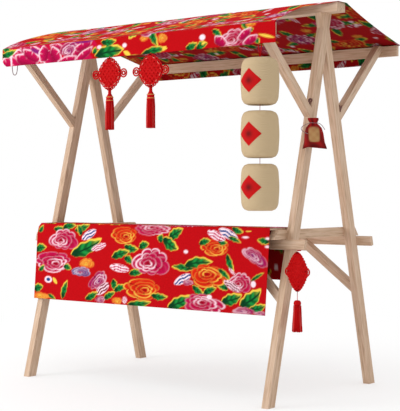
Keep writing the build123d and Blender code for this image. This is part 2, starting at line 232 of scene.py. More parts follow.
def wood(name, axis, seed, tone):
    """Pale planed pine with its grain along axis."""
    mat, tree, shader = new_material(name, rough=0.62)
    turn = add_texture(tree, "Mapping", {
        "Rotation": Vector(axis).rotation_difference(Vector((1, 0, 0))).to_euler(),
        "Location": (seed * 3.1, seed * 1.7, seed * 0.9),
    })
    # streaks, 16 times as long as they are wide
    stretch = add_node(tree, "Mapping", {"Scale": (1.0, 16.0, 16.0)})
    streaks = add_node(tree, "TexNoise", {"Scale": 7.0, "Detail": 5.0, "Distortion": 0.6})
    link(tree, turn.outputs["Vector"], stretch.inputs["Vector"])
    link(tree, stretch.outputs["Vector"], streaks.inputs["Vector"])
    dark, middle, pale = [[tone * part for part in colour] for colour in (PINE_DARK, PINE_MIDDLE, PINE_PALE)]
    grain = add_ramp(tree, (0.30, dark), (0.66, pale), (0.48, middle))
    link(tree, streaks.outputs["Fac"], grain.inputs["Fac"])
    # darker blotches over the grain
    blotch = add_node(tree, "TexNoise", {"Scale": 3.0, "Detail": 2.0})
    shade = add_ramp(tree, (0.35, BLOTCH), (0.65, (1, 1, 1)))
    tint = add_node(tree, "Mix", {0: 0.35}, data_type="RGBA", blend_type="MULTIPLY")
    link(tree, turn.outputs["Vector"], blotch.inputs["Vector"])
    link(tree, blotch.outputs["Fac"], shade.inputs["Fac"])
    link(tree, grain.outputs["Color"], tint.inputs[6])
    link(tree, shade.outputs["Color"], tint.inputs[7])
    link(tree, tint.outputs[2], shader.inputs["Base Color"])
    add_bump(tree, shader, streaks.outputs["Fac"], 0.12, 0.002)
    return mat


# how far the legs of each pair reach out below their crossing, and its height, in mm
FRONT_REACH, BACK_REACH, CROSSING = 494, 471, 1888
FRONT_LEAN, BACK_LEAN = atan2(FRONT_REACH, CROSSING), atan2(BACK_REACH, CROSSING)
CANOPY_BRACE, TABLE_BRACE = radians(43), radians(41.5)
# the way the grain runs in each member
AXES = {node: (0, 1, 0) for node in ("left_cross_rail", "right_cross_rail")}
for node in ("ridge_beam", "front_eave_board", "back_eave_board", "front_rail", "back_rail", "counter_board"):
    AXES[node] = (1, 0, 0)
for facing, row, tilt in ((-1, "front", FRONT_LEAN), (1, "back", BACK_LEAN)):
    inward, up = -facing * sin(tilt), cos(tilt)
    for side, name in ((-1, "left"), (1, "right")):
        AXES[f"{row}_{name}_leg"] = (0, inward, up)
        AXES[f"{row}_{name}_canopy_brace"] = (0, facing * cos(CANOPY_BRACE), sin(CANOPY_BRACE))
        AXES[f"{row}_{name}_table_brace"] = (
            -side * cos(TABLE_BRACE), inward * sin(TABLE_BRACE), up * sin(TABLE_BRACE)
        )

for number, (node, axis) in enumerate(sorted(AXES.items())):
    tone = 1.0 + 0.03 * sin(number * 2.3)
    piece = dress(node, wood(f"pine_{number}", axis, number + 1, tone))
    soft_edge = piece.modifiers.new("soft_edge", "BEVEL")
    soft_edge.width = SOFT_EDGE
    soft_edge.segments = 2
    soft_edge.limit_method = "ANGLE"

# printed cloth: a traditional peony print, drawn motif by motif on the mesh's own points
# the inner side: the print seen from the reverse, darkened further as painted shade
REVERSE_AND_SHADE_TONE = np.array((0.44, 0.42, 0.40))
RED = np.array((0.48, 0.003, 0.006))
PINK = np.array((0.93, 0.66, 0.75))
WHITE = np.array((0.93, 0.74, 0.82))
MAGENTA = np.array((0.50, 0.004, 0.072))
CRIMSON = np.array((0.36, 0.002, 0.018))
VIOLET = np.array((0.24, 0.012, 0.15))
GREEN = np.array((0.010, 0.22, 0.040))
DARK_GREEN = np.array((0.003, 0.045, 0.016))
OLIVE = np.array((0.42, 0.46, 0.035))
YELLOW = np.array((0.86, 0.60, 0.07))
ORANGE = np.array((0.68, 0.024, 0.005))
GOLD = np.array((0.92, 0.60, 0.080))
BLUE = np.array((0.008, 0.055, 0.23))
# flowers: their rim, body and heart, how many petals, and how heavy the rim's line is
FLOWERS = {
    "peony": (PINK, MAGENTA, CRIMSON, 7, 0.72),
    "rose": (PINK, MAGENTA * 0.8, VIOLET, 6, 0.72),
    "gold": (GOLD, ORANGE, RED * 0.9, 5, 0.55),
    "fire": (GOLD, ORANGE, YELLOW, 5, 0.4),
    "blue": (WHITE, BLUE, MAGENTA, 6, 0.6),
}
# striped buds and feathers: their light and their dark, and how many stripes
STRIPED = {
    "pinkbud": (WHITE, MAGENTA, 3.0),
    "bluebud": (WHITE, BLUE, 2.6),
    "stripe": (PINK, CRIMSON * 0.5, 3.0),
}
# a turn spins these kinds' petals only, or nothing; every other kind lies along its turn
LEVEL = ("peony", "gold", "fire", "blue", "bud", "bluedot", "field")
# width of a printed edge, in metres on the cloth
PRINT_EDGE = 0.0045


def blend_in(colours, mask, colour):
    mask = np.clip(mask, 0, 1)[:, None]
    colours[:] = colours * (1 - mask) + colour * mask


def edge(value, soft):
    """1 inside, where value is below 0, falling to 0 over a soft edge."""
    return np.clip(0.5 - value / soft, 0, 1)


def draw_flower(colours, p, q, soft, phase, rim, body, heart, petals, line):
    """Layers of scalloped petals, each a little off the middle of the last and rimmed more on one side."""
    layers = (
        (1.0, 0.0, petals, 0.075), (0.72, 0.12, petals - 1, 0.085),
        (0.47, 0.17, 5, 0.085), (0.24, 0.20, 3, 0.07),
    )
    for reach, off, n, width in layers:
        pp, qq = p - off * cos(phase), q - off * sin(phase)
        r, angle = np.hypot(pp, qq), np.arctan2(qq, pp)
        wave = np.abs(np.cos((angle + 0.35 * np.sin(2 * angle + phase) + phase + reach * 5) * n / 2)) ** 0.5
        outline = reach * (0.78 + 0.22 * wave) * (1 + 0.07 * np.sin(3 * angle + phase))
        rimmed = np.clip(0.45 + 0.85 * np.sin(angle + phase * 2 + reach * 5), 0.10, 1)
        inside = edge(r - outline, soft)
        blend_in(colours, inside, body * 0.8)
        blend_in(colours, inside * (0.35 + 0.65 * rimmed), rim)
        core = edge(r - (outline - width * line * (0.5 + rimmed)), soft)
        depth = np.clip((r / outline - 0.45) / 0.5, 0, 1)[:, None]
        blend_in(colours, core, heart * (1 - depth) + body * depth)
        # pale folds on the lit side, dark clefts between the petals
        fold = np.clip(np.sin(angle * n + phase + 9 * r) - 0.55, 0, 1) * rimmed
        blend_in(colours, core * fold * 0.8 * line * (depth[:, 0] > 0.2), rim)
        blend_in(colours, core * (wave < 0.34) * (r > outline * 0.45) * 0.85, heart * 0.35)
    pp, qq = p - 0.20 * cos(phase), q - 0.20 * sin(phase)
    blend_in(colours, edge(np.hypot(pp, qq) - 0.07, soft), heart * 0.7)


def draw_petal(colours, p, q, soft):
    """One large petal, deep at its foot and pale along its upper edge."""
    ragged = 1 + 0.06 * np.sin(np.arctan2(q, p) * 5)
    blend_in(colours, edge(np.hypot(p, q) - ragged, soft), PINK)
    core = edge(np.hypot(p, q + 0.17) - 0.93 * ragged, soft)
    blend_in(colours, core, MAGENTA * (0.45 + 0.75 * np.clip(q * 0.5 + 0.6, 0, 1)[:, None]))
    blend_in(colours, core * edge(np.abs(np.sin(p * 5)) - 0.25, 0.3) * np.clip(q, 0, 1), PINK)


def draw_leaf(colours, p, q, soft, bend):
    """A pointed leaf along p, bent a little, dark at its foot and rib, its tip and upper side pale."""
    q = q - bend * (1 - p * p)
    span = np.where(np.abs(p) < 1, np.clip(1 - p * p, 0, 1) ** 0.8 * (1 - 0.2 * p), -9)
    teeth = 1 + 0.10 * np.sin(p * 11 + bend * 9)
    blend_in(colours, edge(np.abs(q) - span * teeth, soft), YELLOW)
    inner = edge(np.abs(q + 0.10) - (span * teeth - 0.10 - 0.22 * np.clip(p, 0, 1)), soft)
    veins = 0.5 + 0.5 * np.sin(p * 13 - np.abs(q) * 5)
    blend_in(colours, inner, GREEN * (0.45 + 0.75 * veins[:, None]))
    blend_in(colours, inner * np.clip((p - 0.30) * 1.3, 0, 0.85), OLIVE)
    blend_in(colours, inner * np.clip((-0.25 - p) * 2.2, 0, 0.9), DARK_GREEN * 0.5)
    blend_in(colours, inner * edge(np.abs(q + 0.12 + 0.1 * p) - 0.13, soft), DARK_GREEN)


def draw_stripes(colours, p, q, soft, light, dark, count):
    """A pointed bud or feather with stripes along p."""
    span = np.where(np.abs(p) < 1, np.clip(1 - p * p, 0, 1) ** 0.6, -9)
    inside = edge(np.abs(q) - span, soft)
    blend_in(colours, inside, light)
    bands = np.clip(np.sin((q + 0.35 * p * p + 0.12 * np.sin(p * 6)) * count * pi) * 2 + 0.55, 0, 1)
    blend_in(colours, inside * bands * (np.abs(q) < span - 0.10), dark)


def draw_field(colours, p, q, soft):
    """A ragged patch of magenta with darker bands."""
    ragged = 0.9 + 0.12 * np.sin(p * 14 + q * 3)
    inside = edge(np.maximum(np.abs(p), np.abs(q) * 0.6) - ragged, soft)
    blend_in(colours, inside, MAGENTA)
    blend_in(colours, inside * (0.5 + 0.5 * np.sin(p * 9 + 2 * q)), CRIMSON * 1.5)


def draw_spot(colours, p, q, soft, reach, colour):
    blend_in(colours, edge(np.hypot(p, q) - reach, soft), colour)


def paint(points, motifs, ground):
    """Colours of points (a, b), in metres on the cloth, under the motifs.

    A motif is its kind, its middle, its half length and half width, and its turn in degrees.
    """
    colours = np.array(np.broadcast_to(ground, (len(points), 3)), dtype=float)
    for kind, a, b, half_a, half_b, turn in motifs:
        far = max(half_a, half_b) * 1.5
        near = (np.abs(points[:, 0] - a) < far) & (np.abs(points[:, 1] - b) < far)
        if not near.any():
            continue
        lie = 0 if kind in LEVEL else radians(turn)
        d = points[near] - np.array((a, b))
        p = (d[:, 0] * cos(lie) + d[:, 1] * sin(lie)) / half_a
        q = (-d[:, 0] * sin(lie) + d[:, 1] * cos(lie)) / half_b
        part = colours[near]
        soft = min(0.8, PRINT_EDGE / min(half_a, half_b))
        if kind in FLOWERS:
            draw_flower(part, p, q, soft, radians(turn) + a * 5, *FLOWERS[kind])
        elif kind in STRIPED:
            draw_stripes(part, p, q, soft, *STRIPED[kind])
        elif kind == "petal":
            draw_petal(part, p, q, soft)
        elif kind == "leaf":
            draw_leaf(part, p, q, soft, 0.35 * sin(a * 40 + b * 30))
        elif kind == "gold_leaf":
            blend_in(part, edge(np.abs(q) - np.where(np.abs(p) < 1, 1 - p * p, -9), soft), YELLOW)
        elif kind == "field":
            draw_field(part, p, q, soft)
        elif kind == "violet":
            draw_spot(part, p, q, soft, 1, VIOLET)
        else:
            draw_spot(part, p, q, soft, 1, WHITE)
            if kind == "bluedot":
                draw_spot(part, p, q, soft, 0.55, BLUE)
        colours[near] = part
    return colours


def scatter(low, high, seed):
    """A loose all-over run of the print for the parts of the cloth away from the photo's view."""
    draw = random.Random(seed)
    made = []
    step, away = 0.27, 0.105
    row = 0
    a = low[0] + 0.06
    while a < high[0] + 0.1:
        column = 0
        b = low[1] + (row % 2) * step * 0.5
        while b < high[1] + 0.1:
            x, y = a + draw.uniform(-0.03, 0.03), b + draw.uniform(-0.03, 0.03)
            kind = ("peony", "gold", "peony", "rose", "gold")[(row * 2 + column) % 5]
            spin = draw.uniform(0, 360)
            for k in range(4):
                turn = spin + k * 90 + draw.uniform(-25, 25)
                angle = radians(turn)
                made.append((
                    "leaf", x + away * cos(angle), y + away * sin(angle),
                    draw.uniform(0.05, 0.075), draw.uniform(0.020, 0.030), turn,
                ))
            half_a, half_b = draw.uniform(0.085, 0.11), draw.uniform(0.065, 0.085)
            made.append((kind, x, y, half_a, half_b, draw.uniform(0, 90)))
            made.append(("pinkbud", x + 0.13, y + 0.05, 0.045, 0.016, draw.uniform(0, 180)))
            made.append(("bud", x - 0.12, y + 0.09, 0.013, 0.012, 0))
            made.append(("fire", x + 0.10, y - 0.11, 0.032, 0.024, 0))
            b += step
            column += 1
        a += step
        row += 1
    return made


# the larger motifs of the front drop and the front valance, as paint takes them
FRONT_DROP_MOTIFS = (
    ("leaf", -0.8, 0.401, 0.028, 0.014, 47), ("leaf", -0.657, 0.406, 0.041, 0.016, 7),
    ("leaf", -0.576, 0.414, 0.053, 0.02, 8), ("leaf", -0.478, 0.412, 0.06, 0.02, 16),
    ("leaf", -0.502, 0.396, 0.034, 0.02, 116), ("leaf", -0.801, 0.285, 0.046, 0.023, 13),
    ("peony", -0.62, 0.34, 0.114, 0.058, 20), ("peony", -0.705, 0.213, 0.138, 0.061, 160),
    ("leaf", -0.449, 0.308, 0.127, 0.038, 22), ("bluebud", -0.427, 0.373, 0.06, 0.022, 25),
    ("pinkbud", -0.354, 0.307, 0.057, 0.017, 17), ("leaf", -0.592, 0.185, 0.032, 0.017, -12),
    ("leaf", -0.797, 0.178, 0.028, 0.014, 37), ("fire", -0.445, 0.214, 0.057, 0.027, 0),
    ("blue", -0.487, 0.166, 0.073, 0.026, 10), ("bluedot", -0.743, 0.112, 0.029, 0.019, 0),
    ("gold_leaf", -0.691, 0.107, 0.025, 0.011, -47), ("leaf", -0.614, 0.061, 0.058, 0.02, 68),
    ("leaf", -0.822, 0.061, 0.039, 0.023, 16), ("fire", -0.801, 0.016, 0.077, 0.019, 0),
    ("leaf", -0.715, 0.016, 0.031, 0.011, -23), ("gold", -0.168, 0.375, 0.091, 0.048, 15),
    ("leaf", -0.117, 0.312, 0.052, 0.022, -8), ("leaf", -0.027, 0.323, 0.038, 0.021, 18),
    ("leaf", -0.194, 0.273, 0.069, 0.023, 16), ("leaf", -0.137, 0.24, 0.035, 0.021, -27),
    ("leaf", -0.086, 0.173, 0.048, 0.019, 4), ("pinkbud", -0.202, 0.197, 0.071, 0.021, -6),
    ("rose", -0.361, 0.123, 0.074, 0.042, 30), ("stripe", -0.326, 0.079, 0.056, 0.024, 33),
    ("leaf", -0.409, 0.039, 0.053, 0.019, 25), ("leaf", -0.238, 0.103, 0.035, 0.022, -76),
    ("leaf", -0.197, 0.087, 0.049, 0.018, 18), ("leaf", -0.276, 0.046, 0.049, 0.017, 26),
    ("fire", -0.22, 0.019, 0.036, 0.021, 0), ("pinkbud", -0.165, 0.027, 0.019, 0.017, 98),
    ("rose", -0.343, 0.019, 0.035, 0.02, 0), ("leaf", -0.061, 0.018, 0.085, 0.019, 7),
    ("gold", -0.046, 0.091, 0.125, 0.06, 0), ("peony", 0.027, 0.412, 0.122, 0.033, 80),
    ("leaf", 0.092, 0.365, 0.024, 0.02, 69), ("leaf", 0.19, 0.391, 0.058, 0.026, 30),
    ("leaf", 0.158, 0.341, 0.059, 0.031, -29), ("peony", 0.024, 0.237, 0.133, 0.072, 200),
    ("gold", 0.446, 0.326, 0.089, 0.045, 200), ("leaf", 0.382, 0.353, 0.039, 0.017, 14),
    ("leaf", 0.497, 0.357, 0.03, 0.014, -8), ("pinkbud", 0.455, 0.388, 0.06, 0.022, -20),
    ("bluebud", 0.532, 0.397, 0.064, 0.023, -22), ("leaf", 0.591, 0.42, 0.038, 0.016, -17),
    ("leaf", 0.571, 0.369, 0.043, 0.012, -18), ("gold_leaf", 0.655, 0.413, 0.02, 0.003, 3),
    ("bud", 0.638, 0.383, 0.019, 0.005, 0), ("leaf", 0.546, 0.25, 0.052, 0.018, -65),
    ("pinkbud", 0.556, 0.209, 0.027, 0.008, -39), ("rose", 0.698, 0.286, 0.087, 0.034, -28),
    ("leaf", 0.746, 0.367, 0.038, 0.016, 172), ("bud", 0.773, 0.38, 0.014, 0.006, 0),
    ("bud", 0.771, 0.34, 0.014, 0.006, 0), ("bud", 0.258, 0.3, 0.014, 0.009, 0),
    ("leaf", 0.234, 0.216, 0.072, 0.018, 177), ("leaf", 0.34, 0.241, 0.095, 0.027, 8),
    ("bluebud", 0.235, 0.156, 0.061, 0.022, 25), ("rose", 0.271, 0.141, 0.033, 0.014, 0),
    ("leaf", 0.339, 0.108, 0.043, 0.018, -27), ("leaf", 0.414, 0.105, 0.046, 0.019, 22),
    ("leaf", 0.496, 0.124, 0.035, 0.016, 169), ("gold", 0.406, 0.179, 0.126, 0.059, 0),
    ("leaf", 0.506, 0.192, 0.048, 0.014, -35), ("peony", 0.607, 0.154, 0.071, 0.05, 40),
    ("stripe", 0.555, 0.137, 0.057, 0.019, -25), ("bud", 0.686, 0.152, 0.015, 0.016, 0),
    ("leaf", 0.711, 0.19, 0.046, 0.009, 29), ("leaf", 0.079, 0.063, 0.058, 0.018, -2),
    ("leaf", 0.215, 0.041, 0.088, 0.03, 23), ("peony", 0.371, 0.033, 0.133, 0.053, 0),
    ("bud", 0.411, 0.073, 0.016, 0.012, 0), ("leaf", 0.553, 0.077, 0.068, 0.029, 17),
    ("leaf", 0.668, 0.087, 0.08, 0.037, 34), ("leaf", 0.711, 0.04, 0.055, 0.021, 16),
    ("rose", 0.628, 0.015, 0.066, 0.019, 0), ("rose", 0.729, 0.009, 0.035, 0.01, 0),
)
VALANCE_MOTIFS = (
    ("petal", -0.895, 0.02, 0.05, 0.034, 25),
    ("field", -0.534, 0.061, 0.332, 0.051, 0), ("petal", -0.805, 0.03, 0.06, 0.06, 60),
    ("petal", -0.7, 0.08, 0.085, 0.03, -12), ("petal", -0.73, 0.03, 0.095, 0.032, -12),
    ("petal", -0.69, 0.05, 0.075, 0.026, -24), ("violet", -0.655, 0.07, 0.045, 0.012, -20),
    ("petal", -0.56, 0.02, 0.05, 0.04, 100), ("petal", -0.6, 0.05, 0.045, 0.035, 75),
    ("petal", -0.5, 0.085, 0.045, 0.018, -8), ("petal", -0.5, 0.04, 0.055, 0.03, -50),
    ("rose", -0.4, 0.06, 0.075, 0.042, 0), ("petal", -0.33, 0.055, 0.06, 0.022, 30),
    ("petal", -0.3, 0.075, 0.065, 0.02, 14), ("petal", -0.3, 0.025, 0.075, 0.02, 28),
    ("petal", -0.42, 0.008, 0.07, 0.02, 8), ("violet", -0.3, 0.096, 0.07, 0.008, 0),
    ("leaf", -0.874, 0.076, 0.065, 0.018, 13), ("leaf", -0.217, 0.044, 0.02, 0.018, 62),
    ("leaf", -0.111, 0.027, 0.104, 0.036, 6), ("leaf", -0.116, 0.086, 0.055, 0.02, 0),
    ("bud", -0.183, 0.059, 0.015, 0.009, 0), ("bud", -0.005, 0.055, 0.015, 0.011, 0),
    ("gold_leaf", 0.013, 0.012, 0.03, 0.012, -26), ("leaf", 0.066, -0.013, 0.059, 0.011, -1),
    ("fire", 0.128, 0.078, 0.027, 0.013, 0), ("leaf", 0.197, 0.01, 0.086, 0.019, 6),
    ("gold_leaf", 0.26, 0.02, 0.017, 0.01, 31), ("bud", 0.506, 0.056, 0.018, 0.014, 0),
    ("leaf", 0.437, 0.021, 0.038, 0.019, 18), ("leaf", 0.503, 0.013, 0.038, 0.02, 19),
    ("gold_leaf", 0.513, 0.026, 0.014, 0.007, 20), ("leaf", 0.597, 0.068, 0.035, 0.015, -32),
    ("peony", 0.699, 0.034, 0.085, 0.046, 10), ("leaf", 0.794, 0.067, 0.022, 0.014, 17),
    ("leaf", 0.758, -0.016, 0.068, 0.012, 4), ("gold_leaf", 0.659, -0.007, 0.085, 0.006, -1),
    ("gold_leaf", 0.888, 0.034, 0.05, 0.007, -14), ("leaf", 0.837, 0.012, 0.017, 0.014, -48),
    ("petal", 0.618, 0.03, 0.04, 0.024, -28), ("petal", 0.76, 0.052, 0.045, 0.02, 30),
    ("petal", 0.795, 0.022, 0.045, 0.02, 20),
)


def cloth_material(name):
    """Matt cotton with its print, which carries painted shade on the inner side, and a slight unevenness."""
    mat, tree, shader = dyed_material(name, "print", rough=1.0, specular=0.06)
    weave = add_texture(tree, "TexNoise", {"Scale": 45.0, "Detail": 3.0})
    add_bump(tree, shader, weave.outputs["Fac"], 0.25, 0.003)
    return mat


CLOTH_HALF = 0.0004
printed = cloth_material("peony_print")


def cloth_grids(place, stations, columns):
    """A cloth's outer and inner points, [rows][columns], and the place of each on the flat cloth.

    place gives the point at a share of the way across, a path length and an offset outwards.
    """
    outer = np.zeros((len(stations), columns, 3))
    inner = np.zeros_like(outer)
    for i, t in enumerate(stations):
        for j in range(columns):
            share = j / (columns - 1)
            outer[i, j] = place(share, t, CLOTH_HALF)
            inner[i, j] = place(share, t, -CLOTH_HALF)
    spots = np.dstack([outer[:, :, 0], np.repeat(stations[:, None], columns, axis=1)])
    return outer, inner, spots.reshape(-1, 2)


def cloth_shell(name, outer, inner, colours):
    """A thin closed cloth from two grids of points, its print darker on the inner side: the print seen from
    the reverse, darkened further as painted shade.
    """
    rows, columns = outer.shape[:2]
    half = rows * columns
    idx = np.arange(half).reshape(rows, columns)
    a, b = idx[:-1, :-1].ravel(), idx[:-1, 1:].ravel()
    c, d = idx[1:, 1:].ravel(), idx[1:, :-1].ravel()
    ring = np.concatenate([idx[0, :], idx[1:, -1], idx[-1, -2::-1], idx[-2:0:-1, 0]])
    after = np.roll(ring, -1)
    faces = np.concatenate([
        np.stack([a, b, c, d], 1),
        np.stack([a, d, c, b], 1) + half,
        np.stack([ring, ring + half, after + half, after], 1),
    ])
    verts = np.concatenate([outer.reshape(-1, 3), inner.reshape(-1, 3)])
    obj = add_mesh(name, verts.tolist(), faces.tolist(), printed)
    # the inner side's points take the darker colours: the reverse of the print, with painted shade
    layer = colour_points(obj.data, "print", np.concatenate([colours, colours * REVERSE_AND_SHADE_TONE]))
    obj.data.color_attributes.active_color = layer
    return obj


# canopy cloth: the runs of its line, half the depths and the heights that it lies at, and its ends
VALANCE, SLOPE, CROWN = 0.0995, 0.590, 0.078
ROOF_LENGTH = 2 * VALANCE + 2 * SLOPE + CROWN
EAVE_Y, EAVE_Z, RIDGE_HALF, RIDGE_Z = 0.604, 1.8495, 0.039, 2.0135
LEFT_RIDGE, LEFT_EAVE, RIGHT_END = -0.982, -0.922, 0.940
# ends that the inner columns keep to, while the outer ones follow the cloth's uneven ends
EVEN_LEFT, EVEN_RIGHT = -0.95, 0.90
# free edges of the cloth: X at shares of the way up a slope, and at heights of the back valance
FRONT_RIGHT = ((0, 0.3, 0.5, 0.7, 0.9, 0.96, 1), (0.940, 0.830, 0.796, 0.764, 0.758, 0.900, 0.938))
LEFT_EDGE = ((0, 0.15, 0.4, 0.7, 1), (-0.922, -0.962, -1.000, -1.004, -0.982))
BACK_VALANCE_RIGHT = ((0, 0.55, 1), (0.735, 0.800, 0.940))


def roof_section(t, x):
    """Y, Z and the outward normal of the cloth's line at path length t from the front hem."""
    side = -1
    if t > ROOF_LENGTH / 2:
        t, side = ROOF_LENGTH - t, 1
    if t < VALANCE:
        return side * EAVE_Y, EAVE_Z - VALANCE + t, side * 1.0, 0.0
    run, rise = EAVE_Y - RIDGE_HALF, RIDGE_Z - EAVE_Z
    u = (t - VALANCE) / SLOPE
    if u < 1:
        # the cloth sags between its boards, but stands a little proud near the left end of the front
        sag = float(np.interp(x, (-0.98, -0.75), (-0.014 if side < 0 else 0.004, 0.012)))
        drop = 4 * sag * u * (1 - u)
        n = hypot(run, rise)
        return side * (EAVE_Y - run * u), EAVE_Z + rise * u - drop, side * rise / n, run / n
    return side * (RIDGE_HALF - (t - VALANCE - SLOPE)), RIDGE_Z, 0.0, 1.0


def roof_ends(t):
    """The cloth's left and right ends at path length t."""
    front = t < ROOF_LENGTH / 2
    mid = t if front else ROOF_LENGTH - t
    if mid < VALANCE:
        left, right = LEFT_EAVE, RIGHT_END
        if front:
            left += 0.028 * max(0.0, 1 - mid / 0.035) ** 2
        else:
            right = float(np.interp(mid / VALANCE, *BACK_VALANCE_RIGHT))
        return left, right
    u = min(1.0, (mid - VALANCE) / SLOPE)
    if front:
        return float(np.interp(u, *LEFT_EDGE)), float(np.interp(u, *FRONT_RIGHT))
    return LEFT_EAVE + (LEFT_RIDGE - LEFT_EAVE) * u, RIGHT_END


def roof_point(share, t, offset):
    left, right = roof_ends(t)
    x = EVEN_LEFT + (EVEN_RIGHT - EVEN_LEFT) * share
    x += (left - EVEN_LEFT) * (1 - share) ** 10 + (right - EVEN_RIGHT) * share**10
    y, z, ny, nz = roof_section(t, x)
    low = max(0.0, VALANCE - t, t - ROOF_LENGTH + VALANCE) / VALANCE
    wave = 0.0032 * low * sin(x * 17 + 1.3 * sin(x * 7)) + 0.0012 * sin(x * 11 + t * 9)
    return x, y + RIDGE_Y + ny * (offset + wave), z + nz * (offset + wave)


# the cloth's rows, closer together on the valances and next to the ridge in front
close_from = 0.88 * SLOPE
roof_rows = np.concatenate([
    np.linspace(0, VALANCE, 22),
    VALANCE + np.linspace(0, close_from, 39)[1:],
    VALANCE + np.linspace(close_from, SLOPE, 13)[1:],
    VALANCE + SLOPE + np.linspace(0, CROWN, 6)[1:],
    VALANCE + SLOPE + CROWN + np.linspace(0, SLOPE, 45)[1:],
    ROOF_LENGTH - VALANCE + np.linspace(0, VALANCE, 13)[1:],
])
outer, inner, spots = cloth_grids(roof_point, roof_rows, 340)
roof_motifs = scatter((-0.98, 0.19), (0.98, ROOF_LENGTH), 3) + list(VALANCE_MOTIFS)
canopy = cloth_shell("canopy_print", outer, inner, paint(spots, roof_motifs, RED))
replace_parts(canopy, "canopy_cloth")

# tablecloth: the board's edges that it hangs from, the heights of its hems and the ends of its rows
FRONT_Y, BACK_Y = -0.4250, -0.2230
TOP_Z, HEM_Z, BACK_HEM_Z = 0.8690, 0.437, 0.600
DROP, TOP_RUN, BACK_DROP = TOP_Z - HEM_Z, BACK_Y - FRONT_Y, TOP_Z - BACK_HEM_Z
CLOTH_LENGTH = DROP + TOP_RUN + BACK_DROP
TABLE_LEFT, TABLE_RIGHT, BACK_HALF = -0.798, 0.786, 0.760
# X of the front drop's left edge, at shares of the way down
DROP_LEFT = ((0, 0.05, 0.15, 0.5, 1), (TABLE_LEFT, -0.820, -0.831, -0.841, -0.859))


def table_point(share, t, offset):
    if t < DROP:
        down = 1 - t / DROP
        left = float(np.interp(down, *DROP_LEFT))
        x = left + (TABLE_RIGHT - 0.028 * down - left) * share
        wave = 0.0035 * down * sin(x * 19 + 0.8 * sin(x * 5))
        return x, FRONT_Y + RIDGE_Y - offset - abs(wave) * 0.3, HEM_Z + t
    if t < DROP + TOP_RUN:
        return TABLE_LEFT + (TABLE_RIGHT - TABLE_LEFT) * share, FRONT_Y + RIDGE_Y + t - DROP, TOP_Z + offset
    return BACK_HALF * (2 * share - 1), BACK_Y + RIDGE_Y + offset, TOP_Z - (t - DROP - TOP_RUN)


table_rows = np.concatenate([
    np.linspace(0, DROP, 96),
    DROP + np.linspace(0, TOP_RUN, 17)[1:],
    DROP + TOP_RUN + np.linspace(0, BACK_DROP, 20)[1:],
])
outer, inner, spots = cloth_grids(table_point, table_rows, 370)
table_print = paint(spots, scatter((-0.88, DROP + 0.06), (0.85, CLOTH_LENGTH), 11), RED)
# the front drop starts plain, so that only its own motifs show there
table_print[spots[:, 1] < DROP] = RED
table_cover = cloth_shell("table_print", outer, inner, paint(spots, FRONT_DROP_MOTIFS, table_print))
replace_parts(table_cover, "tablecloth")

# red cord, for the knots, the tassels and what the lanterns hang from
cord_red, tree, shader = new_material("cord_red", (0.50, 0.002, 0.003), 0.6, 0.08)
twist = add_texture(tree, "TexWave", {"Scale": 120.0, "Distortion": 1.5}, bands_direction="DIAGONAL")
add_bump(tree, shader, twist.outputs["Fac"], 0.3, 0.001)
# pale cord: painted highlights on the edge loops of the knots
cord_painted_highlight = new_material("cord_painted_highlight", (0.78, 0.26, 0.20), 0.5)[0]
# lighter red cord: a painted highlight on the outer threads of the tassels
cord_sheen = new_material("cord_sheen", (0.74, 0.055, 0.045), 0.5)[0]
gold_thread = new_material("gold_thread", (0.70, 0.26, 0.06), 0.4)[0]

# a knot's cords: radii of the loops at its edge, the loops at its sides, its tie and its painted highlights,
# the radii of the two side loops, and how far a strand rises over the next
EDGE_CORD, SIDE_CORD, TIE_CORD, LIGHT = 0.0036, 0.0040, 0.0030, 0.0018
SIDE_LOOPS = (0.0205, 0.0095)
LIFT = 0.0022


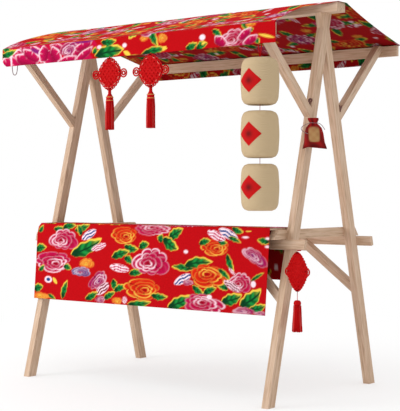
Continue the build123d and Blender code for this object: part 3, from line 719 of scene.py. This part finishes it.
def woven_knot(name, node, place, half_width, half_height, reach, strands, swollen, blunt, tie=0):
    """A flat knot of strands that cross over and under in a diamond, with loops all round.

    The loops at its sides come out as far as reach. Its sides swell by swollen and its corners draw in
    by blunt. A tie is the length of cord above its top, and a knot with one has painted highlights,
    pale dashes round its edge loops.
    """
    x, y, middle = place
    made, sheen = Build(), Build()

    def at(across, down):
        u, v = across + down - 1, across - down
        total = abs(u) + abs(v)
        swell = (1 + swollen * (4 * abs(u * v) / max(total * total, 1e-9)) * total) * (1 - blunt * total**6)
        return x + half_width * u * swell, middle + half_height * v * swell

    steps = strands * 6
    for layer in (0, 1):
        for k in range(strands):
            fixed = (k + 0.5) / strands
            route = []
            for i in range(steps + 1):
                along = i / steps
                over = sin((along * strands - 0.5) * pi) * (1 if (k + layer) % 2 else -1)
                px, pz = at(fixed, along) if layer else at(along, fixed)
                route.append((px, y - LIFT * over, pz))
            made.tube(route, half_width / strands * 0.64, 8, flat=0.62)
    # the padding between the two layers
    outline = []
    for side in range(4):
        for i in range(10):
            f = i / 10
            outline.append(at(*((f, 0), (1, f), (1 - f, 1), (0, 1 - f))[side]))
    padding = []
    for depth in (-0.0012, 0.0012):
        padding += [(x + (px - x) * 1.03, y + depth, middle + (pz - middle) * 1.03) for px, pz in outline]
    made.add(padding, stack_faces(2, len(outline)))
    # small loops where neighbouring strands turn back
    size = half_width / strands * 0.70
    for side in range(4):
        for k in range(strands + 1):
            f = k / strands
            px, pz = at(*((0, f), (1, f), (f, 0), (f, 1))[side])
            away = hypot(px - x, pz - middle)
            ox, oz = (px - x) / away, (pz - middle) / away
            loop = circle(10, size, px + size * 0.1 * ox, pz + size * 0.1 * oz)
            made.tube([(u, y, v) for u, v in loop], EDGE_CORD, 6, closed=True)
            # pale dashes on the edge loops: painted highlights
            if tie and 0 < k < strands:
                light = []
                for u in (-0.9, 0, 0.9):
                    lx, lz = px + size * (u * oz - 0.35 * ox), pz - size * (u * ox + 0.35 * oz)
                    light.append((lx, y - 0.0034, lz))
                sheen.tube(light, LIGHT, 6)
    # a large loop and a small one inside it, at each side
    for side in (-1, 1):
        for size in SIDE_LOOPS:
            loop = circle(28, size, x + side * (reach - 0.025), middle)
            made.tube([(u, y, v) for u, v in loop], SIDE_CORD, 8, closed=True)
    if tie:
        top = middle + half_height
        made.tube([(x, y + 0.001, top - 0.01), (x, y + 0.001, top + tie)], TIE_CORD, 8)
    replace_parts(made.done(name, cord_red, "red_cord"), node)
    # the painted highlights, a mesh of their own in pale cord
    if tie:
        sheen.done(f"{name}_edge", cord_painted_highlight, "red_cord")


# a tassel's threads and their radius, and the gold bands' places down its collar and share of its radius
THREADS, THREAD = 130, 0.0021
BANDS, BAND_SHARE = (0.013, 0.031), 0.80


def thread_tassel(name, node, place, radius, length, drop, neck, banded):
    """A tassel of many threads under a collar, which may be bound with two gold bands.

    A stem as thick as neck runs down by drop, and the threads' length is counted from its end.
    """
    x, y, top = place
    stem_end = top - drop
    if banded:
        stem = [(0, top + 0.006), (neck, top + 0.004), (neck * 1.1, top - drop * 0.8)]
        collar = ((0.62, 0.006), (BAND_SHARE, 0.014), (BAND_SHARE, 0.030), (0.94, 0.040), (0, 0.046))
    else:
        stem = [(0, top + 0.002), (neck, top), (neck, stem_end)]
        collar = ((0.45, 0.002), (0.66, 0.008), (0.72, 0.020), (0, 0.046))
    made, shine = Build(), Build()
    made.lathe(stem + [(radius * share, stem_end - down) for share, down in collar], (x, y), 24)
    golden = pi * (3 - sqrt(5))
    root = stem_end - 0.026
    for k in range(THREADS):
        share = sqrt((k + 0.5) / THREADS)
        angle = k * golden
        r_root = radius * (0.78 if banded else 0.68) * share
        r_foot = (radius - 0.0012) * share
        foot = stem_end - length + rng.uniform(0, 0.004)
        route = []
        for i in range(5):
            u = i / 4
            r = r_root + (r_foot - r_root) * (min(1, u * 3) if banded else u)
            sway = 0.0007 * sin(k * 1.7 + u * 6)
            route.append((x + r * cos(angle) + sway, y + r * sin(angle), root + (foot - root) * u))
        # a few outer threads on the camera's side take a lighter red: a painted highlight
        lit = share > 0.75 and -0.16 < sin(angle * 2 + 0.5) < 0.26 and sin(angle) < 0
        (shine if lit else made).tube(route, THREAD, 5)
    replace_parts(made.done(name, cord_red, "red_cord"), node)
    # the lighter threads, a painted highlight, in a mesh of their own
    shine.done(f"{name}_sheen", cord_sheen, "red_cord")
    if banded:
        bands = Build()
        for down in BANDS:
            loop = circle(32, radius * BAND_SHARE, x, y)
            bands.tube([(u, v, stem_end - down) for u, v in loop], THREAD, 8, closed=True)
        bands.done(f"{name}_bands", gold_thread, "red_cord")


KNOT_Y, KNOT_Z, TASSEL_Z = -0.6123 + RIDGE_Y, 1.662, 1.576
for x, word in ((-0.102, "left"), (0.179, "middle")):
    woven_knot(
        f"{word}_woven_knot", f"{word}_knot", (x, KNOT_Y, KNOT_Z), half_width=0.084, half_height=0.088,
        reach=0.122, strands=7, swollen=0.31, blunt=0.16, tie=0.003,
    )
    thread_tassel(
        f"{word}_thread_tassel", f"{word}_tassel", (x, KNOT_Y, TASSEL_Z), radius=0.0235, length=0.184,
        drop=0.022, neck=0.008, banded=True,
    )
low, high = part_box("rail_knot")
middle = (low + high) / 2
woven_knot(
    "rail_woven_knot", "rail_knot", middle, half_width=0.060, half_height=0.100,
    reach=0.074, strands=9, swollen=0.26, blunt=0.10,
)
tassel_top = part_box("rail_tassel")[1].z
thread_tassel(
    "rail_thread_tassel", "rail_tassel", (middle.x, middle.y, tassel_top), radius=0.0262, length=0.156,
    drop=0.038, neck=0.0015, banded=False,
)
dress("rail_knot_tie", cord_red)

# lanterns: cloth woven in small checks over close ribs, a brown hoop at each end and a dyed diamond
lantern_cloth, tree, shader = new_material("lantern_cloth", rough=0.8, specular=0.15)
ribs = add_texture(tree, "TexWave", {"Scale": 38.0}, bands_direction="Z")
add_bump(tree, shader, ribs.outputs["Fac"], 0.25, 0.002)
weave = add_texture(tree, "TexChecker", {
    "Scale": 170.0, "Color1": (0.585, 0.445, 0.275, 1), "Color2": (0.50, 0.365, 0.210, 1),
})
link(tree, weave.outputs["Color"], shader.inputs["Base Color"])
hoop_brown = new_material("hoop_brown", (0.16, 0.12, 0.09), 0.7)[0]
diamond_dye = dyed_material("diamond_dye", "dye", rough=0.8, specular=0.1)[0]

LANTERN_X, LANTERN_Y = 0.843, -0.5915 + RIDGE_Y
LANTERN_HEIGHT, LANTERN_PITCH, LANTERN_TOP = 0.223, 0.2515, 1.683
# radii at the ends, at the shoulders and how much more the belly has, and the shoulders' height
END_RADIUS, SHOULDER_RADIUS, BELLY, SHOULDER = 0.058, 0.0892, 0.0033, 0.048
# the recess at each end, its radii at the bottom and the rim, and the hoops round the ends
RECESS, RECESS_RADIUS, RIM_RADIUS = 0.004, 0.050, 0.052
HOOP_RADIUS, HOOP_CORD, HOOP_INSET = 0.0585, 0.0021, 0.0022
DIAMOND_HALF, DIAMOND_STEPS = 0.058, 28


def lantern_radius(down):
    """Radius of the shell at a distance down from its top."""
    down = min(down, LANTERN_HEIGHT - down)
    if down < SHOULDER:
        u = max(0.0, down) / SHOULDER
        return END_RADIUS + (SHOULDER_RADIUS - END_RADIUS) * sqrt(max(0.0, 1 - (1 - u) ** 2.1))
    share = (down - SHOULDER) / (LANTERN_HEIGHT / 2 - SHOULDER)
    return SHOULDER_RADIUS + BELLY * sin(pi / 2 * share)


def lantern_shell(name, top):
    """A barrel with a shallow recess at each end."""
    bottom = top - LANTERN_HEIGHT
    profile = [(0, top - RECESS), (RECESS_RADIUS, top - RECESS), (RIM_RADIUS, top)]
    for i in range(35):
        down = LANTERN_HEIGHT * i / 34
        profile.append((lantern_radius(down), top - down))
    profile += [(RIM_RADIUS, bottom), (RECESS_RADIUS, bottom + RECESS), (0, bottom + RECESS)]
    made = Build()
    made.lathe(profile, (LANTERN_X, LANTERN_Y), 72)
    return made.done(name, lantern_cloth, "lantern_fabric")


def lantern_diamond(name, centre_z):
    """A plain red diamond on the front of a lantern, darker towards its middle."""
    verts, faces, tints = [], [], []
    for i in range(DIAMOND_STEPS + 1):
        for j in range(DIAMOND_STEPS + 1):
            a, b = i / DIAMOND_STEPS, j / DIAMOND_STEPS
            across, up = DIAMOND_HALF * (a + b - 1) * 1.12, DIAMOND_HALF * (a - b)
            angle = -pi / 2 + across / 0.092
            r = lantern_radius(LANTERN_HEIGHT / 2 - up) + 0.0006
            verts.append((LANTERN_X + r * cos(angle), LANTERN_Y + r * sin(angle), centre_z + up))
            deep = exp(-((a - 0.5) ** 2 + (b - 0.5) ** 2) / 0.045)
            tints.append((0.52 - 0.36 * deep, 0.006, 0.007))
            if i and j:
                k = len(verts) - 1
                below = k - DIAMOND_STEPS - 1
                faces.append((below - 1, below, k, k - 1))
    diamond = add_mesh(name, verts, faces, diamond_dye)
    colour_points(diamond.data, "dye", tints)


for number, word in enumerate(("top", "middle", "bottom")):
    top = LANTERN_TOP - number * LANTERN_PITCH
    shell = lantern_shell(f"{word}_lantern_shell", top)
    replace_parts(shell, f"{word}_lantern")
    lantern_diamond(f"{word}_lantern_diamond", top - LANTERN_HEIGHT / 2)
    hoops = Build()
    for z in (top - HOOP_INSET, top - LANTERN_HEIGHT + HOOP_INSET):
        loop = circle(72, HOOP_RADIUS, LANTERN_X, LANTERN_Y)
        hoops.tube([(u, v, z) for u, v in loop], HOOP_CORD, 6, closed=True)
    hoops.done(f"{word}_lantern_hoops", hoop_brown, "lantern_fabric")

# what the lanterns hang from: two cords from the eave board, and one between a lantern and the next
EAVE_UNDERSIDE = 1.790
made = Build()
for x in (LANTERN_X - 0.016, LANTERN_X + 0.016):
    made.tube([(x, LANTERN_Y, EAVE_UNDERSIDE), (LANTERN_X, LANTERN_Y, LANTERN_TOP - 0.003)], 0.0024, 8)
for number in (1, 2):
    top = LANTERN_TOP - number * LANTERN_PITCH
    above = top + LANTERN_PITCH - LANTERN_HEIGHT
    made.tube([(LANTERN_X, LANTERN_Y, top - RECESS), (LANTERN_X, LANTERN_Y, above + RECESS)], 0.0014, 8)
cords = made.done("lantern_cords", cord_red, "red_cord")
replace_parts(cords, "lantern_cord")

# drawstring pouch
low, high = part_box("drawstring_pouch")
centre = (low + high) / 2
height = high.z - low.z
POUCH_TURN = radians(35)
ROWS, STEPS = 64, 96
SATIN = np.array((0.30, 0.006, 0.006))
PANEL = np.array((0.43, 0.26, 0.105))
# the neck's height, as a share of the pouch's, and how far it lies to the left of the hem's middle
NECK, NECK_LEFT = 0.835, 0.0067
# half width and half thickness at heights from 0 at the hem to 1
POUCH_FORM = (
    (0.0, 0.0610, 0.0080), (0.05, 0.0600, 0.0120), (0.22, 0.0520, 0.0200), (0.50, 0.0475, 0.0218),
    (0.68, 0.0400, 0.0185), (0.78, 0.0260, 0.0140), (NECK, 0.0175, 0.0110), (0.88, 0.0225, 0.0110),
    (0.94, 0.0275, 0.0100), (1.0, 0.0265, 0.0080),
)


def on_pouch(px, py, z):
    """A place in the scene from one across, in front of (minus) and up the pouch."""
    c, r = cos(POUCH_TURN), sin(POUCH_TURN)
    return centre.x + px * c - py * r, centre.y + px * r + py * c, z


def pouch_tint(across, up, front, angle, h, folded):
    """Satin with a panel of another cloth on its front, with painted highlights on its folds and in streaks
    round it, painted shade in its creases, and darker towards the hem.
    """
    panel = min(1.0, max(0.0, (1.05 - (abs(across) ** 4 + abs(up) ** 4)) * 1.5)) if front else 0.0
    panel *= 0.88 + 0.12 * sin(across * 5 + 2) * cos(up * 7) - 0.35 * max(0.0, up - 0.35)
    # painted highlight: lighter streaks round the satin
    sheen = 0.25 * sin(angle * 5 + h * 8) * (1 - panel)
    # painted light and shade on the folds, lighter on their ridges and darker in their creases, and darker
    # towards the hem
    shine = 0.80 + 0.35 * folded + sheen - 0.35 * max(0, 0.15 - h) * 6
    return (SATIN * (1 - panel) + PANEL * panel) * max(0.25, shine + 0.25 * panel)


verts, tints = [], []
levels, half_widths, half_depths = zip(*POUCH_FORM)
for i in range(ROWS + 1):
    h = i / ROWS
    w, t = float(np.interp(h, levels, half_widths)), float(np.interp(h, levels, half_depths))
    gather = max(0.0, 1 - abs(h - NECK) / 0.16)
    for k in range(STEPS):
        a = 2 * pi * k / STEPS
        folded = gather * cos(a * 13 + 3 * sin(a * 2))
        px = w * copysign(abs(cos(a)) ** 0.85, cos(a))
        py = t * sin(a) * (1 + 0.10 * folded + 0.025 * cos(a * 7 + 5 * h))
        rise = 0.014 * (1 - (px / w) ** 2) * max(0, 1 - h * 4)
        verts.append(on_pouch(px - 0.008 * h, py, low.z + h * height + rise))
        tints.append(pouch_tint(px / 0.030, (h - 0.46) / 0.27, py < 0, a, h, folded))
# the pouch's colour layer holds the satin, its panel and its painted light and shade
pouch_cloth = dyed_material("pouch_satin", "dye", rough=0.5, specular=0.1)[0]
pouch = add_mesh("pouch_bag", verts, stack_faces(ROWS + 1, STEPS), pouch_cloth)
colour_points(pouch.data, "dye", tints)
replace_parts(pouch, "drawstring_pouch")

# its drawstring: a tie round the neck, a loop on the left and a tail on the right
string_grey = new_material("drawstring", (0.24, 0.15, 0.16), 0.6)[0]
made = Build()
neck_z = low.z + NECK * height
neck = [on_pouch(0.0185 * u - NECK_LEFT, 0.0125 * v, neck_z + 0.002 * u * v) for u, v in circle(24, 1)]
made.tube(neck, 0.0014, 6, closed=True)
loop, tail = [], []
for i in range(15):
    u = i / 14
    forward = -0.0135 - 0.010 * sin(pi * u)
    reach = 0.016 + 0.046 * sin(pi * min(1.0, u * 1.06)) ** 0.8
    loop.append(on_pouch(-reach - NECK_LEFT, forward, neck_z - 0.062 * u))
    tail.append(on_pouch(0.016 + 0.040 * u - NECK_LEFT, forward, neck_z - 0.034 * u * u))
made.tube(loop, 0.0017, 6)
made.tube(tail, 0.0017, 6)
made.done("pouch_drawstring", string_grey, "pouch_fabric")

# hooks
iron = new_material("dark_iron", (0.115, 0.030, 0.018), 0.5)[0]
for node in ("front_hook", "back_hook"):
    piece = dress(node, iron)

# string loop under the front eave board's left end
string_red = new_material("string_red", (0.11, 0.012, 0.017), 0.7)[0]
route = [
    (-0.859, -0.5915, 1.7895), (-0.8605, -0.5915, 1.75625), (-0.857, -0.5915, 1.723),
    (-0.8485, -0.5915, 1.701), (-0.8275, -0.5915, 1.701), (-0.819, -0.5915, 1.723),
    (-0.8155, -0.5915, 1.75625), (-0.817, -0.5915, 1.7895),
]
curve = bpy.data.curves.new("string_loop_curve", "CURVE")
curve.dimensions = "3D"
curve.bevel_depth = 0.0020
curve.bevel_resolution = 3
spline = curve.splines.new("NURBS")
spline.points.add(len(route) - 1)
for point, (x, y, z) in zip(spline.points, route):
    point.co = (x, y + RIDGE_Y, z, 1)
spline.order_u = 3
spline.use_endpoint_u = True
string = bpy.data.objects.new("hanging_string", curve)
bpy.context.scene.collection.objects.link(string)
curve.materials.append(string_red)
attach(string, "root")
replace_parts(string, "string_loop")
x, y, z = route[0]


def seen_by_camera(tree):
    """1 for what the camera sees, straight or in a reflection, and 0 for the light on the stall."""
    rays = add_node(tree, "LightPath")
    either = add_node(tree, "Math", operation="MAXIMUM")
    link(tree, rays.outputs["Is Camera Ray"], either.inputs[0])
    link(tree, rays.outputs["Is Glossy Ray"], either.inputs[1])
    return either.outputs[0]


def mix_shaders(tree, share, first, second, surface):
    mix = add_node(tree, "MixShader")
    link(tree, share, mix.inputs[0])
    link(tree, first.outputs[0], mix.inputs[1])
    link(tree, second.outputs[0], mix.inputs[2])
    link(tree, mix.outputs[0], surface)


# floor: seen by the camera, it turns to the white of the background away from the stall
floor_mat, tree, shader = new_material("floor", (0.95, 0.95, 0.95), 0.9)
spot = add_node(tree, "TexCoord")
away = add_node(tree, "VectorMath", operation="LENGTH")
fade_values = {"From Min": 0.6, "From Max": 3.6, "To Min": 0.45}
fade = add_node(tree, "MapRange", fade_values, interpolation_type="SMOOTHSTEP")
share = add_node(tree, "Math", operation="MULTIPLY")
white = add_node(tree, "Emission")
link(tree, spot.outputs["Object"], away.inputs[0])
link(tree, away.outputs["Value"], fade.inputs["Value"])
link(tree, fade.outputs["Result"], share.inputs[0])
link(tree, seen_by_camera(tree), share.inputs[1])
mix_shaders(tree, share.outputs[0], shader, white, tree.nodes["Material Output"].inputs["Surface"])
bpy.ops.mesh.primitive_plane_add(size=60, location=(0, 0, 0))
floor = bpy.context.object
floor.name = "floor"
floor.data.materials.append(floor_mat)

# world: a sky whose light grows from the horizon to the zenith, and which the camera sees as white
world = bpy.data.worlds.new("studio")
bpy.context.scene.world = world
world.use_nodes = True
tree = world.node_tree
sky = tree.nodes["Background"]
sky.inputs["Color"].default_value = (1, 1, 1, 1)
ray = add_node(tree, "TexCoord")
split = add_node(tree, "SeparateXYZ")
HORIZON, GROWTH = 0.26, 1.14
rise = add_node(tree, "Math", {1: GROWTH, 2: HORIZON}, operation="MULTIPLY_ADD")
link(tree, ray.outputs["Generated"], split.inputs[0])
link(tree, split.outputs["Z"], rise.inputs[0])
link(tree, rise.outputs[0], sky.inputs["Strength"])
backdrop = add_node(tree, "Background", {"Color": (1, 1, 1, 1), "Strength": 1.0})
mix_shaders(tree, seen_by_camera(tree), sky, backdrop, tree.nodes["World Output"].inputs[0])

# one large soft lamp from the front left
LAMP_PLACE, LAMP_AIM = Vector((-3.6, -5.8, 2.9)), Vector((0, 0, 1.0))
LAMP_SIZE, LAMP_WATTS = 3.2, 195
lamp_data = bpy.data.lights.new("key", "AREA")
lamp_data.size = LAMP_SIZE
lamp_data.energy = LAMP_WATTS
lamp = bpy.data.objects.new("key", lamp_data)
lamp.location = LAMP_PLACE
lamp.rotation_euler = (LAMP_AIM - LAMP_PLACE).to_track_quat("-Z", "Y").to_euler()
bpy.context.scene.collection.objects.link(lamp)

bpy.context.scene.view_settings.view_transform = "Standard"
